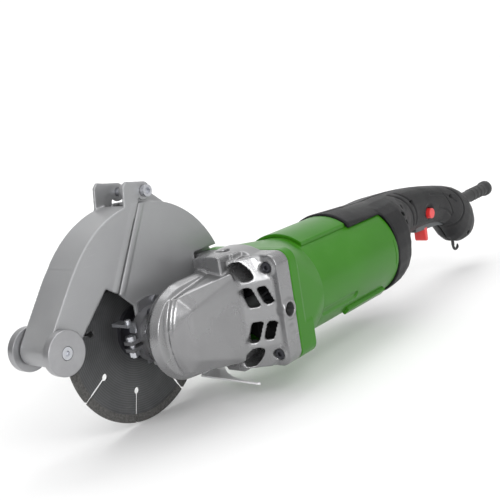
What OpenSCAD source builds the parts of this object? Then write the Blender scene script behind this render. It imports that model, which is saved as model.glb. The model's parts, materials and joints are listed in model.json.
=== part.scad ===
// Hand-held single-blade wall chaser: a mains angle-head motor with a hinged, roller-guided blade guard.
// Origin at the centre of the blade. +X runs back along the motor to the handle, +Y runs along the
// spindle away from the gear head, and +Z is up. Millimetres.

/* [Blade] */
// Diameter of the diamond blade
blade_d = 156; // [150:1:158]
// Thickness of the steel core
core_t = 1.8; // [1.6:0.1:2.2]
// Number of rim segments
segments = 8; // [8]
// Thickness of a rim segment
segment_t = 2.6; // [2.4:0.1:3.0]

/* [Guard] */
// Outer radius of the guard's rim
guard_r = 96.9; // [96:0.1:99]
// Wall thickness of the guard
guard_t = 2.4; // [2:0.1:3]
// Outer face of the plate on the gear head's side
near_y = -18.5; // [-19:0.1:-18]
// Outer face of the plate on the far side
far_y = 16.1; // [15:0.1:18]
// Radius of the guide rollers
roller_r = 17.9; // [16:0.1:18.5]
// Thickness of a guide roller
roller_t = 7.3; // [6:0.1:8]

/* [Motor] */
// Distance from the blade's plane to the motor's axis
motor_offset = 57.6; // [57.6]
// Outer radius of the motor barrel
barrel_r = 47; // [46.5:0.1:47.5]
// Half width of the square flange between gear head and motor
flange_half = 49; // [48.5:0.1:50]
// Distance of a corner screw from the motor's axis, sideways and up
screw_off = 38; // [37.5:0.1:38.5]
// Teeth of the crown gear
crown_teeth = 32; // [32]
// Teeth of the pinion
pinion_teeth = 12; // [12]

/* [Threads] */
// Radius of a side-handle threaded hole
handle_hole_r = 5.92; // [5.1:0.01:6]
// Radius of the hole through the cord sleeve
cord_hole_r = 3.8; // [3:0.1:4.2]

/* [Hidden] */
$fn = 64;

m = -motor_offset;          // y of the motor's axis
blade_r = blade_d / 2;
guard_c = [9, 11];          // centre of the guard's rim, x and z
pin_x = 20.2;               // guard hinge
pin_z = 116.2;
ear_r = 8;                  // round end of a hinge ear
axle_x = -95;               // roller axle
axle_z = 15.6;
seam_lo = [-28, 41.2];      // parting line of the guard, low and high end
seam_hi = [17.2, 118.4];
seam_gap = 0.7;             // half the gap along the parting line
neck_r = 21;                // neck of the bearing cover
head_y = -40;               // joint face of the gear housing
flange_x0 = 68.4;           // front and rear faces of the head's flange
flange_x1 = 85;
barrel_x1 = 266.5;          // rear edge of the barrel, where the handle's cap begins
wall = 3;
fit = 0.03;                 // radial running clearance
gap = 0.4;                  // clearance between moving parts

silver = [0.68, 0.68, 0.69];
steel = [0.6, 0.61, 0.63];
dark = [0.24, 0.25, 0.26];
green = [0.29, 0.53, 0.16];
charcoal = [0.24, 0.24, 0.25];
red = [0.85, 0.2, 0.2];
copper = [0.72, 0.42, 0.2];

// ---- helpers ------------------------------------------------------------

// Outline (x, z) given thickness from y0 to y1
module along_y(y0, y1) {
    translate([0, y1, 0]) rotate([90, 0, 0]) linear_extrude(y1 - y0) children();
}

// Outline (y, z) given length from x0 to x1
module along_x(x0, x1) {
    translate([x0, 0, 0]) rotate([90, 0, 90]) linear_extrude(x1 - x0) children();
}

// Round bar along Y, X or Z
module rod_y(x, z, y0, y1, r) {
    translate([x, y1, z]) rotate([90, 0, 0]) cylinder(r = r, h = y1 - y0);
}
module rod_x(y, z, x0, x1, r) {
    translate([x0, y, z]) rotate([0, 90, 0]) cylinder(r = r, h = x1 - x0);
}
module rod_z(x, y, z0, z1, r) {
    translate([x, y, z0]) cylinder(r = r, h = z1 - z0);
}

// Tube along Y or X
module tube_y(x, z, y0, y1, ro, ri) {
    difference() {
        rod_y(x, z, y0, y1, ro);
        rod_y(x, z, y0 - 1, y1 + 1, ri);
    }
}
module tube_x(y, z, x0, x1, ro, ri) {
    difference() {
        rod_x(y, z, x0, x1, ro);
        rod_x(y, z, x0 - 1, x1 + 1, ri);
    }
}

// Box between two corners
module block(a, b) {
    translate(a) cube(b - a);
}

// Hexagonal prism along Y, measured across its flats
module hex_y(x, z, y0, y1, across) {
    translate([x, y1, z]) rotate([90, 0, 0]) cylinder(r = across / sqrt(3), h = y1 - y0, $fn = 6);
}

// Square with rounded corners, centred
module round_square(half_w, half_h, r) {
    square([2 * half_w, 2 * (half_h - r)], center = true);
    square([2 * (half_w - r), 2 * half_h], center = true);
    for (sx = [-1, 1], sy = [-1, 1])
        translate([sx * (half_w - r), sy * (half_h - r)]) circle(r);
}

// Ball bearing: outer ring, inner ring and two shields between them, on X or Y
module bearing_x(y, z, x0, x1, ro, ri) {
    color(steel) {
        tube_x(y, z, x0, x1, ro, ro - 0.18 * (ro - ri) - 1);
        tube_x(y, z, x0, x1, ri + 0.18 * (ro - ri) + 1, ri + fit);
        tube_x(y, z, x0 + 0.6, x1 - 0.6, ro - 0.18 * (ro - ri) - 1, ri + 0.18 * (ro - ri) + 1);
    }
}
module bearing_y(x, z, y0, y1, ro, ri) {
    color(steel) {
        tube_y(x, z, y0, y1, ro, ro - 0.18 * (ro - ri) - 1);
        tube_y(x, z, y0, y1, ri + 0.18 * (ro - ri) + 1, ri + fit);
        tube_y(x, z, y0 + 0.6, y1 - 0.6, ro - 0.18 * (ro - ri) - 1, ri + 0.18 * (ro - ri) + 1);
    }
}

// Wire wound round a Z axis from the origin up, swept as a six-sided tube
module coil(r, wire_r, turns, height) {
    rings = turns * 14;
    sides = 6;
    points = [for (i = [0:rings]) let (a = 360 * turns * i / rings)
        for (j = [0:sides - 1]) let (b = 360 * j / sides)
            [(r + wire_r * cos(b)) * cos(a), (r + wire_r * cos(b)) * sin(a),
             height * i / rings + wire_r * sin(b)]];
    walls = [for (i = [0:rings - 1], j = [0:sides - 1]) let (k = (j + 1) % sides)
        [i * sides + j, (i + 1) * sides + j, (i + 1) * sides + k, i * sides + k]];
    first = [for (j = [0:sides - 1]) j];
    last = [for (j = [sides - 1:-1:0]) rings * sides + j];
    polyhedron(points, concat(walls, [first], [last]), convexity = 8);
}

// ---- guard --------------------------------------------------------------

seam_dir = (seam_hi - seam_lo) / norm(seam_hi - seam_lo);
seam_side = [-seam_dir[1], seam_dir[0]];

// Everything in front of (side 1) or behind (side -1) the parting line
module seam_region(side) {
    far = 400;
    a = seam_lo - far * seam_dir + side * seam_gap * seam_side;
    b = seam_lo + far * seam_dir + side * seam_gap * seam_side;
    polygon([a, b, b + side * far * seam_side, a + side * far * seam_side]);
}

// Side view of the guard without its leg, cut off along the wall's surface
module guard_disc(r) {
    intersection() {
        translate(guard_c) circle(r, $fn = 128);
        polygon([[-200, 30], [-90, -2], [88, -57], [300, -57], [300, 300], [-200, 300]]);
    }
}

// Leg that carries the rollers; d makes it smaller all round
module leg(d = 0) {
    n = 12.5 - d;
    translate([axle_x, axle_z]) circle(n);
    polygon([[-67.2 + 0.77 * d, 72.5 - 0.62 * d], [-105.3 + 0.8 * d, 22.9],
             [-86.3 - 0.68 * d, 6.5 + 0.73 * d], [-28 - 0.68 * d, 59 + 0.73 * d]]);
}

// Inside of the guard, seen from the side
module front_inside() {
    guard_disc(guard_r - guard_t);
    leg(guard_t);
}

// Round stretch of the seam edge stiffened by a raised rib
module seam_rib(side) {
    intersection() {
        guard_disc(guard_r);
        translate(seam_lo + side * (seam_gap + 2.4) * seam_side)
            rotate(atan2(seam_dir[1], seam_dir[0]))
                translate([0, -2.4]) square([90, 4.8]);
    }
}

step_y = -8.2;                // near face of the step for the motor's flange

// Part of the guard that steps back for the motor's flange, d larger in front and on top
module step_outline(d) {
    intersection() {
        guard_disc(guard_r + (d > 0 ? 0 : 1));
        translate([66.6 - d, -90]) square([60, 141 + d]);
    }
}

// Opening in the near plate that shows the blade
module near_cutout() {
    polygon([[-39.4, 48.8], [-28.2, 41.1], [-13.9, 27], [-13.9, 0], [0, -34], [60, -60],
             [80, -120], [-130, -120], [-86.7, 5.1]]);
}

// Hinge ear as seen from the side: round at the pin, running forward and down into the rim
module ear(x_back, top_front) {
    translate([pin_x, pin_z]) circle(ear_r);
    polygon([[pin_x, pin_z + ear_r], [pin_x - 14, 126.5], [x_back + 4, top_front], [x_back, top_front - 4],
             [x_back - 4, 96], [pin_x - 9.5, 96], [pin_x - 7.4, pin_z - 3]]);
}

module shroud_front() {
    color(silver) difference() {
        union() {
            // near plate, far plate and rim
            along_y(near_y, far_y) intersection() {
                union() {
                    guard_disc(guard_r);
                    leg();
                }
                seam_region(1);
            }
            along_y(near_y - 0.8, near_y) intersection() {
                seam_rib(1);
                seam_region(1);
            }
            // ears
            along_y(near_y, near_y + 3) ear(-2, 127.5);
            along_y(far_y - 3, far_y) ear(-5, 128.3);
        }
        along_y(near_y + guard_t, far_y - guard_t) intersection() {
            union() {
                front_inside();
                translate([-10, 60]) square([60, 60]);
            }
            union() {
                translate(guard_c) circle(guard_r - guard_t, $fn = 128);
                leg(guard_t);
            }
        }
        // the rim is cut back between the ears
        block([2.5, near_y + 3, 96], [60, far_y - 3, 140]);
        along_y(near_y - 5, near_y + guard_t + 0.1) near_cutout();
        // the far plate is open below the blade's flange
        along_y(far_y - guard_t - 0.1, far_y + 1)
            polygon([[-20, -24], [-88, 1.5], [-60, 22], [-34, 30], [0, 0]]);
        rod_y(pin_x, pin_z, -40, 40, 3 + fit);
        rod_y(axle_x, axle_z, -40, 40, 5 + fit);
        seam_cut();
    }
    color(silver) for (y = [near_y + guard_t, far_y - guard_t - 4])
        tube_y(axle_x, axle_z, y, y + 4, 9, 5 + fit);
}

// Removes what the ears' roots leave behind the parting line, below the rim
module seam_cut() {
    along_y(near_y - 1, far_y + 1) intersection() {
        seam_region(-1);
        translate(guard_c) circle(guard_r + 0.6, $fn = 128);
    }
}

module shroud_rear() {
    knuckle_y = [-7, 5];
    color(silver) difference() {
        union() {
            along_y(near_y, far_y) intersection() {
                guard_disc(guard_r);
                seam_region(-1);
            }
            along_y(near_y - 0.8, near_y) intersection() {
                seam_rib(-1);
                seam_region(-1);
            }
            // inset wall where the near plate steps back for the motor's flange
            along_y(near_y, step_y + guard_t) step_outline(guard_t);
            // hinge knuckle between the ears of the front half
            along_y(knuckle_y[0], knuckle_y[1]) {
                translate([pin_x, pin_z]) circle(7.4);
                polygon([[pin_x, pin_z + 7.4], [pin_x + 8, pin_z + 4], [58, 96], [24, 96],
                         [pin_x + 1, 108]]);
            }
        }
        along_y(near_y + guard_t, far_y - guard_t) difference() {
            translate(guard_c) circle(guard_r - guard_t, $fn = 128);
            step_outline(guard_t);
        }
        along_y(step_y + guard_t, far_y - guard_t)
            translate(guard_c) circle(guard_r - guard_t, $fn = 128);
        along_y(near_y - 1, step_y) step_outline(0);
        along_y(near_y - 5, near_y + guard_t + 0.1) near_cutout();
        // open rim between the ears
        block([-10, near_y + 3, 96], [21.5, knuckle_y[0], 112]);
        block([-10, knuckle_y[1], 96], [21.5, far_y - 3, 112]);
        // open bottom for the blade
        block([-100, near_y + guard_t, -100], [62, far_y - guard_t, -20]);
        rod_y(pin_x, pin_z, -40, 40, 3 + fit);
        // hole for the spindle and the neck of the bearing cover
        rod_y(0, 0, near_y - 1, near_y + guard_t + 1, neck_r + 0.2);
        // dust way in the far plate
        rod_y(48, 16, far_y - guard_t - 1, far_y + 1, 14);
        for (a = guard_screw_angles)
            rod_y(27.5 * cos(a), 27.5 * sin(a), near_y - 1, near_y + guard_t + 1, 2.2);
    }
}

guard_screw_angles = [20, 75, -35];

module hinge_bolt() {
    color(steel) {
        rod_y(pin_x, pin_z, near_y - 0.5, far_y + 8, 3);
        difference() {
            rod_y(pin_x, pin_z, near_y - 4.5, near_y - 0.5, 5);
            hex_y(pin_x, pin_z, near_y - 5, near_y - 2, 5);
        }
    }
}

module guard_nuts() {
    color(steel) {
        difference() {
            hex_y(pin_x, pin_z, far_y + 0.5, far_y + 5.5, 10);
            rod_y(pin_x, pin_z, far_y, far_y + 6, 3 + fit);
        }
        translate(clamp_at) rotate([0, -clamp_turn, 0]) difference() {
            translate([0, 0, -8.6]) cylinder(r = 8 / sqrt(3), h = 4, $fn = 6);
            translate([0, 0, -9]) cylinder(r = 2.5 + fit, h = 5);
        }
    }
}

// Guide roller: rim, web and a flush recess for the axle's head or nut
module roller(y0, y1, recess_y0, recess_y1) {
    difference() {
        rod_y(axle_x, axle_z, y0, y1, roller_r);
        rod_y(axle_x, axle_z, y0 - 1, y1 + 1, 4 + fit);
        rod_y(axle_x, axle_z, recess_y0, recess_y1, 5.4);
    }
}

roller_near_y = [near_y - 0.6 - roller_t, near_y - 0.6];
roller_far_y = [far_y + 0.6, far_y + 0.6 + roller_t];

module roller_near() {
    color(silver) roller(roller_near_y[0], roller_near_y[1], roller_near_y[0] - 1, roller_near_y[0] + 3.4);
}

module roller_far() {
    color(silver) roller(roller_far_y[0], roller_far_y[1], roller_far_y[1] - 3.4, roller_far_y[1] + 1);
}

module axle_spacer() {
    color(steel) tube_y(axle_x, axle_z, near_y - 0.3, far_y + 0.3, 5, 4 + fit);
}

module axle_bolt() {
    color(steel) {
        rod_y(axle_x, axle_z, roller_near_y[0] + 3.1, roller_far_y[1] - 0.3, 4);
        difference() {
            rod_y(axle_x, axle_z, roller_near_y[0] + 0.2, roller_near_y[0] + 3.1, 5);
            hex_y(axle_x, axle_z, roller_near_y[0] - 1, roller_near_y[0] + 2.4, 4);
        }
    }
}

module axle_nut() {
    color(steel) difference() {
        rod_y(axle_x, axle_z, roller_far_y[1] - 3.1, roller_far_y[1] - 0.4, 5);
        rod_y(axle_x, axle_z, roller_far_y[1] - 4, roller_far_y[1], 4 + fit);
    }
}

// Split band that clamps the guard to the neck; its lugs stand at the front
clamp_gap_angle = 184;
clamp_turn = 4;
clamp_at = [-28.2, -23.4, -2];

module clamp_band() {
    color(silver) {
        difference() {
            union() {
                tube_y(0, 0, near_y - 10, near_y, neck_r + 2.6, neck_r);
                // foot that the guard's plate is screwed to
                intersection() {
                    tube_y(0, 0, near_y - 2.2, near_y, neck_r + 10, neck_r);
                    block([-11, near_y - 3, -24], [40, near_y, 40]);
                }
                // lugs
                translate(clamp_at) rotate([0, -clamp_turn, 0]) {
                    translate([-4.5, -4.5, 1.6]) cube([10.5, 9, 3]);
                    translate([-4.5, -4.5, -4.6]) cube([10.5, 9, 3]);
                }
            }
            // slit between the lugs
            translate(clamp_at) rotate([0, -clamp_turn, 0])
                translate([-8, -7, -1.6]) cube([20, 14, 3.2]);
            translate(clamp_at) rotate([0, -clamp_turn, 0])
                translate([0, 0, -20]) cylinder(r = 2.5 + fit, h = 40);
            rod_y(0, 0, near_y - 20, near_y + 1, neck_r);
            for (a = guard_screw_angles)
                rod_y(27.5 * cos(a), 27.5 * sin(a), near_y - 5, near_y + 1, 2 + fit);
        }
    }
}

module clamp_bolt() {
    color(steel) translate(clamp_at) rotate([0, -clamp_turn, 0]) {
        translate([0, 0, -10]) cylinder(r = 2.5, h = 15);
        translate([0, 0, 4.6]) difference() {
            cylinder(r = 4.2, h = 4);
            translate([0, 0, 1.8]) cylinder(r = 4 / sqrt(3), h = 3, $fn = 6);
        }
    }
}

// Flat bar that reaches from the band in over the blade, with its screw
module guard_bracket() {
    color(steel) {
        block([-33, near_y - 8.5, 14.4], [-23.8, near_y + 10, 17]);
        block([-26, near_y - 8.5, 8], [-23.8, near_y + 0.1 - 2.3, 14.4]);
        rod_z(-28.5, near_y - 4.5, 17, 20, 2.6);
    }
}

module guard_screws() {
    color(steel) for (a = guard_screw_angles) {
        rod_y(27.5 * cos(a), 27.5 * sin(a), near_y - 2.2, near_y + guard_t + 2, 2);
        rod_y(27.5 * cos(a), 27.5 * sin(a), near_y - 4.6, near_y - 2.2, 3.6);
    }
}

// Thin steady plate that runs from the guard under the gear head
module skid_plate() {
    color(silver) difference() {
        translate([0, 0, -58.5]) linear_extrude(1.6)
            polygon(concat([[48, near_y], [46, -84], [47.5, -86]],
                [for (t = [0:0.1:1]) [48 + 34 * pow(t, 2.8), -86 + 67.5 * t]]));
        block([40, near_y, -70], [100, near_y + 40, -40]);
    }
    color(silver) block([49, near_y - 1.6, -58.5], [66, near_y, -46]);
}

module dust_port() {
    color(charcoal) difference() {
        union() {
            rod_y(48, 16, far_y, far_y + 26, 16);
            rod_y(48, 16, far_y, far_y + 2.5, 20);
            rod_y(48, 16, far_y + 22, far_y + 26, 17);
        }
        rod_y(48, 16, far_y - 1, far_y + 27, 14);
    }
}

// ---- blade and spindle --------------------------------------------------

slot_r = 51;
bite_r = blade_r - 7;       // inner edge of the rim segments

module blade() {
    color(dark) difference() {
        rod_y(0, 0, -core_t / 2, core_t / 2, bite_r);
        rod_y(0, 0, -5, 5, 11.1);
        for (i = [0:segments - 1]) rotate([0, -(i * 360 / segments - 104.9), 0]) {
            block([slot_r, -5, -1.2], [blade_r, 5, 1.2]);
            rod_y(slot_r, 0, -5, 5, 3);
        }
    }
}

module blade_segments() {
    color([0.3, 0.3, 0.3]) difference() {
        tube_y(0, 0, -segment_t / 2, segment_t / 2, blade_r, bite_r);
        for (i = [0:segments - 1]) rotate([0, -(i * 360 / segments - 104.9), 0])
            block([slot_r, -5, -1.2], [blade_r + 5, 5, 1.2]);
    }
}

module inner_flange() {
    color(dark) difference() {
        union() {
            rod_y(0, 0, -5, -core_t / 2, 23);
            rod_y(0, 0, -9.5, -5, 15);
            rod_y(0, 0, -core_t / 2, core_t / 2 - 0.2, 11.05);
        }
        rod_y(0, 0, -5, core_t, 7 + fit);
        rod_y(0, 0, -10, -5, 8.5);
        rod_y(0, 0, -2.1, -core_t / 2 + 0.0, 18);
    }
    color(dark) tube_y(0, 0, -2.1, -core_t / 2, 11.05, 7 + fit);
}

module flange_nut() {
    color(dark) difference() {
        union() {
            rod_y(0, 0, core_t / 2, 4.5, 20);
            rod_y(0, 0, 4.5, 8.5, 15);
        }
        rod_y(0, 0, -1, 10, 7 + fit);
        for (s = [-1, 1]) rod_y(s * 11.5, 0, 4, 10, 2.2);
    }
}

bearing_lo_y = [-31, -20];   // lower spindle bearing
bearing_up_y = [-58, -52];   // upper spindle bearing

module spindle() {
    color(steel) difference() {
        union() {
            rod_y(0, 0, -9.5, 12.5, 7);
            rod_y(0, 0, bearing_lo_y[1], -9.5, 8.3);
            rod_y(0, 0, bearing_lo_y[0], bearing_lo_y[1], 7.5);
            rod_y(0, 0, -50, bearing_lo_y[0], 8);
            rod_y(0, 0, bearing_up_y[0], -50, 4);
        }
        // hexagon socket in the threaded end
        hex_y(0, 0, 6.5, 13, 6);
    }
}

pinion_r = 7;                                       // pitch radius
crown_pitch_r = pinion_r * crown_teeth / pinion_teeth;
crown_pitch_y = m + pinion_r;

module crown_gear() {
    tooth_in = crown_pitch_r - 2.2;
    tooth_out = crown_pitch_r + 2.6;
    color(steel) difference() {
        union() {
            rod_y(0, 0, crown_pitch_y + 1.5, crown_pitch_y + 8, crown_pitch_r + 3.6);
            rod_y(0, 0, crown_pitch_y + 8, bearing_lo_y[0] - gap, 13);
            for (i = [0:crown_teeth - 1]) rotate([0, -i * 360 / crown_teeth, 0])
                along_x(tooth_in, tooth_out)
                    polygon([[crown_pitch_y + 1.6, -1.1], [crown_pitch_y - 0.8, -0.45],
                             [crown_pitch_y - 0.8, 0.45], [crown_pitch_y + 1.6, 1.1]]);
        }
        rod_y(0, 0, -60, -20, 8);
        // relief over the crown's inside
        rod_y(0, 0, crown_pitch_y - 2, crown_pitch_y + 3, tooth_in - 1.5);
    }
}

module spindle_bearing_lower() {
    bearing_y(0, 0, bearing_lo_y[0], bearing_lo_y[1], 17.5, 7.5);
}

module spindle_bearing_upper() {
    bearing_y(0, 0, bearing_up_y[0], bearing_up_y[1], 8, 4);
}

// ---- gear head ----------------------------------------------------------

// Side view of the head's lower bowl: round in front, straight behind
module bowl_outline(r, half_h, back_x) {
    translate([11, 0]) circle(r, $fn = 96);
    polygon([[11, -r], [back_x, -half_h], [back_x, half_h], [11, r]]);
}

// Side view of the head's upper body: blunt curved nose and sides that spread towards the back
module nose_outline(r) {
    intersection() {
        translate([38, 0]) circle(r, $fn = 96);
        polygon([[-30, -27], [5, -34.5], [42, -40.5], [66, -44], [66, 44], [42, 40.5], [5, 34.5], [-30, 27]]);
    }
}

cover_screw_at = [[-12.5, 22], [-12.5, -22], [44, 31], [44, -31]];

module bearing_cover() {
    color(silver) difference() {
        union() {
            rod_y(0, 0, head_y, near_y - 0.2 + 0.2, neck_r);
            along_y(head_y, head_y + 3.4) bowl_outline(36, 37.5, 49.3);
        }
        rod_y(0, 0, bearing_lo_y[0], bearing_lo_y[1] + 0, 17.5);
        rod_y(0, 0, head_y - 1, bearing_lo_y[0], 15.5);
        rod_y(0, 0, bearing_lo_y[1], near_y + 5, 9.2);
        for (p = cover_screw_at) rod_y(p[0], p[1], head_y - 1, head_y + 6, 2 + fit);
    }
}

module cover_screws() {
    color(steel) for (p = cover_screw_at) {
        rod_y(p[0], p[1], head_y - 10, head_y + 3.4, 2);
        difference() {
            rod_y(p[0], p[1], head_y + 3.4, head_y + 6.4, 3.2);
            hex_y(p[0], p[1], head_y + 4.6, head_y + 7, 3);
        }
    }
}

// One level of the head, a thin slice for a hull
module level(y) {
    translate([0, y, 0]) rotate([90, 0, 0]) linear_extrude(0.4) children();
}

// Thin slice across the head at x, with chamfered upper and lower edges on the outer side
module vent_slice(x, top_y, flat_half, side_y, half_h, base_y) {
    translate([x, 0, 0]) along_x(0, 0.4)
        polygon([[top_y, -flat_half], [top_y, flat_half], [side_y, half_h], [base_y, half_h],
                 [base_y + 6, half_h - 8], [base_y + 6, 8 - half_h], [base_y, -half_h], [side_y, -half_h]]);
}

// Vent slot through the steep outer face: a slanted parallelogram with cut corners, along X
module vent_slot(y0, y1, z0, z1, lean) {
    c = 1.2;
    along_x(46, 76) polygon([[y0 + c, z0], [y1 - c, z0], [y1, z0 + c], [y1 + lean, z1 - c],
                             [y1 + lean - c, z1], [y0 + lean + c, z1], [y0 + lean, z1 - c], [y0, z0 + c]]);
}

// Curved slot beside them, on the slanted shoulder
module curved_slot() {
    along_x(46, 82) polygon([[-69.5, 43.4], [-72.6, 46], [-77.6, 45.6], [-82, 41.2], [-86.4, 34], [-87, 30.6],
                             [-84, 29], [-79.4, 29.6], [-76.6, 34], [-73.2, 38.4], [-69.6, 41]]);
}

module head_body() {
    hull() {
        level(head_y) bowl_outline(37.5, 38, 66, $fn = 48);
        level(-46) bowl_outline(41.5, 43, 66, $fn = 48);
        level(-54) bowl_outline(38.5, 43, 66, $fn = 48);
    }
    hull() {
        level(-57.5) nose_outline(55, $fn = 48);
        level(-60) nose_outline(54, $fn = 48);
        block([-1, -69.5, -21], [0, -60, 21]);
        block([48.6, -79, -25], [50, -60, 25]);
        block([60, -80, -40], [66, -60, 40]);
    }
    hull() {
        vent_slice(49.6, -79, 28, -71, 47, -42);
        vent_slice(66.4, -97.2, 28, -88, 49, -27);
    }
    hull() {
        vent_slice(64, -94.4, 27.6, -86.4, 48.4, -26.5);
        vent_slice(flange_x0 + 4, -104, 29, -91.6, 48.6, -26);
    }
}

module gear_housing() {
    color(silver) difference() {
        union() {
            head_body();
            // lip along the foot of the upper body
            along_y(-57.6, -53.6) nose_outline(56);
            // square flange
            translate([0, m, 0]) along_x(flange_x0, flange_x1)
                round_square(flange_half, flange_half, 11);
            // side-handle bosses above, below and on the outer face
            intersection() {
                rod_x(m, 0, 39.5, 82, 54.8);
                union() {
                    block([39.5, -70, 36], [60, -40, 60]);
                    block([54, -73, 25], [82, -27, 60]);
                    block([66, -90, 25], [82, -27, 60]);
                }
            }
            block([50, m - 12, -50], [72, m + 8, -36]);
            rod_y(76, 0, -108, -95, 8.4);
            rod_y(76, -17, -107.6, -95, 3.6);
            // pads for the corner screws
            for (sy = [-1, 1], sz = [-1, 1])
                rod_x(m + sy * screw_off, sz * screw_off, flange_x0 - 1.4, flange_x0, 7);
        }
        // gear chamber
        rod_y(0, 0, -52, head_y + 1, 23.5);
        block([8, -66.2, -10], [44.5, -45, 10]);
        // upper bearing pocket
        rod_y(0, 0, bearing_up_y[0], -50, 8);
        // front armature bearing and the way for the shaft
        rod_x(m, 0, 44, 54.2, 16);
        rod_x(m, 0, 54, 60, 13.5);
        // air chamber in front of the fan
        rod_x(m, 0, 59.6, 67, 29);
        rod_x(m, 0, 64, 72, 36);
        rod_x(m, 0, 70, flange_x1 + 1, 41);
        for (s = [0, 1]) mirror([0, 0, s]) {
            // air pocket behind the vents
            block([70, -97.4, 7], [flange_x1 - 4, m, 26]);
            translate([50, -79, 5.6]) rotate([0, 0, -48]) block([2.4, 2.2, 0], [24, 14, 19]);
            vent_slot(-89.4, -82, 6.6, 23.6, 3.8);
            vent_slot(-98.3, -91.8, 8, 22.8, 3.2);
            curved_slot();
            // corner screws
            for (sy = [-1, 1])
                rod_x(m + sy * screw_off, screw_off, flange_x0 - 5, flange_x1 + 1, 2.5 + fit);
            for (sy = [-1, 1])
                rod_x(m + sy * screw_off, screw_off, 40, flange_x0 + 3, 4.8);
        }
        // handle holes above, below and on the outer face
        rod_z(60, m, 41.5, 60, handle_hole_r);
        rod_z(60, m, -60, -38, handle_hole_r);
        rod_y(76, 0, -113, -98, handle_hole_r);
        for (p = cover_screw_at) rod_y(p[0], p[1], head_y - 11, head_y + 1, 2);
    }
}

module head_screws() {
    color(dark) for (sy = [-1, 1], sz = [-1, 1]) {
        y = m + sy * screw_off;
        z = sz * screw_off;
        rod_x(y, z, flange_x0 + 3, flange_x1 + 18, 2.5);
        difference() {
            rod_x(y, z, flange_x0 - 0.8, flange_x0 + 3, 4.4);
            translate([flange_x0 - 2, y, z]) rotate([0, 90, 0]) cylinder(r = 2.3, h = 3, $fn = 6);
        }
    }
}

// ---- motor --------------------------------------------------------------

module front_bearing() {
    bearing_x(m, 0, 44, 54, 16, 6);
}

module pinion_gear() {
    x0 = crown_pitch_r - 3.6;
    x1 = 38;
    color(steel) difference() {
        union() {
            rod_x(m, 0, x0, x1, pinion_r - 1.6);
            for (i = [0:pinion_teeth - 1])
                translate([0, m, 0]) rotate([(i + 0.5) * 360 / pinion_teeth, 0, 0])
                    along_x(x0, x1)
                        polygon([[pinion_r - 2.2, -1.05], [pinion_r + 0.85, -0.45],
                                 [pinion_r + 0.85, 0.45], [pinion_r - 2.2, 1.05]]);
        }
        rod_x(m, 0, 0, 60, 4);
    }
}

module armature_shaft() {
    color(steel) {
        rod_x(m, 0, crown_pitch_r - 3, 38, 4);
        rod_x(m, 0, 38, 257.5, 6);
        rod_x(m, 0, 257.5, 265, 4);
    }
}

module cooling_fan() {
    color(dark) difference() {
        union() {
            rod_x(m, 0, 99, 101.5, 37);
            rod_x(m, 0, 92, 104, 11);
            for (i = [0:11]) translate([0, m, 0]) rotate([i * 30, 0, 0])
                block([90, 12, -1], [99.5, 36.5, 1]);
        }
        rod_x(m, 0, 80, 120, 6);
    }
}

module air_baffle() {
    color(charcoal) difference() {
        rod_x(m, 0, 107, 112, barrel_r - wall - 0.05);
        rod_x(m, 0, 100, 120, 25);
    }
}

// Blunt-edged square section turning into the round barrel
module barrel_outside() {
    translate([0, m, 0]) along_x(flange_x1, 96) round_square(flange_half, flange_half, 11);
    // lower corner blocks
    for (sy = [-1, 1])
        translate([0, m, 0]) along_x(96, 107) intersection() {
            round_square(flange_half, flange_half, 11);
            translate([sy * 38, -42]) square([26, 30], center = true);
        }
    hull() {
        translate([0, m, 0]) along_x(95, 95.5) round_square(flange_half, flange_half, 20);
        rod_x(m, 0, 131, 131.5, barrel_r);
    }
    rod_x(m, 0, 130, barrel_x1, barrel_r);
}

module motor_housing() {
    color(green) difference() {
        union() {
            barrel_outside();
            // rails low on both sides
            for (a = [-41, 41]) translate([0, m, 0]) rotate([a, 0, 0])
                block([172, -5, -51.5], [256, 5, -45]);
        }
        rod_x(m, 0, flange_x1 - 1, 400, barrel_r - wall);
        // low side recesses
        for (s = [-1, 1]) hull() for (x = [135, 189])
            rod_y(x, -22, min(m + s * 40.5, m + s * 60), max(m + s * 40.5, m + s * 60), 4.2, $fn = 32);
        for (sy = [-1, 1], sz = [-1, 1])
            rod_x(m + sy * screw_off, sz * screw_off, flange_x1 - 1, flange_x1 + 19, 2.5);
    }
    // bulkhead that carries the rear bearing
    color(green) difference() {
        rod_x(m, 0, 254, barrel_x1, barrel_r - wall + 0.5);
        rod_x(m, 0, 256, 272, 14);
        rod_x(m, 0, 250, 260, 8);
        for (a = [0:60:300]) translate([0, m, 0]) rotate([a + 30, 0, 0]) rod_x(30, 0, 250, 275, 9);
    }
}

module top_plate() {
    color(green) difference() {
        intersection() {
            rod_x(m, 0, 135, 207, barrel_r + 3.4);
            translate([0, m, 0]) block([135, -27, 0], [207, 27, 60]);
        }
        rod_x(m, 0, 129, 251, barrel_r);
    }
}

module stator_core() {
    color(steel) difference() {
        rod_x(m, 0, 140, 200, barrel_r - wall);
        rod_x(m, 0, 139, 201, 24.5);
        // coil windows
        for (a = [45:90:315]) translate([0, m, 0]) rotate([a, 0, 0])
            block([139, 22, -5], [201, 37, 5]);
        // air gaps beside the core
        for (s = [-1, 1]) translate([0, m, 0]) block([139, -60, s * 60 - 19], [201, 60, s * 60 + 19]);
    }
}

module stator_windings() {
    color(copper) for (x = [126, 200.2]) difference() {
        rod_x(m, 0, x, x + 13.6, 37);
        rod_x(m, 0, x - 1, x + 15, 27);
        for (s = [-1, 1]) translate([0, m, 0]) block([x - 1, -50, s * 50 - 44], [x + 15, 50, s * 50 + 44]);
    }
}

module armature_core() {
    color(steel) difference() {
        rod_x(m, 0, 140, 200, 23.5);
        rod_x(m, 0, 139, 201, 6);
        for (i = [0:11]) translate([0, m, 0]) rotate([i * 30, 0, 0])
            block([139, 20.5, -1], [201, 25, 1]);
    }
}

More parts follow.
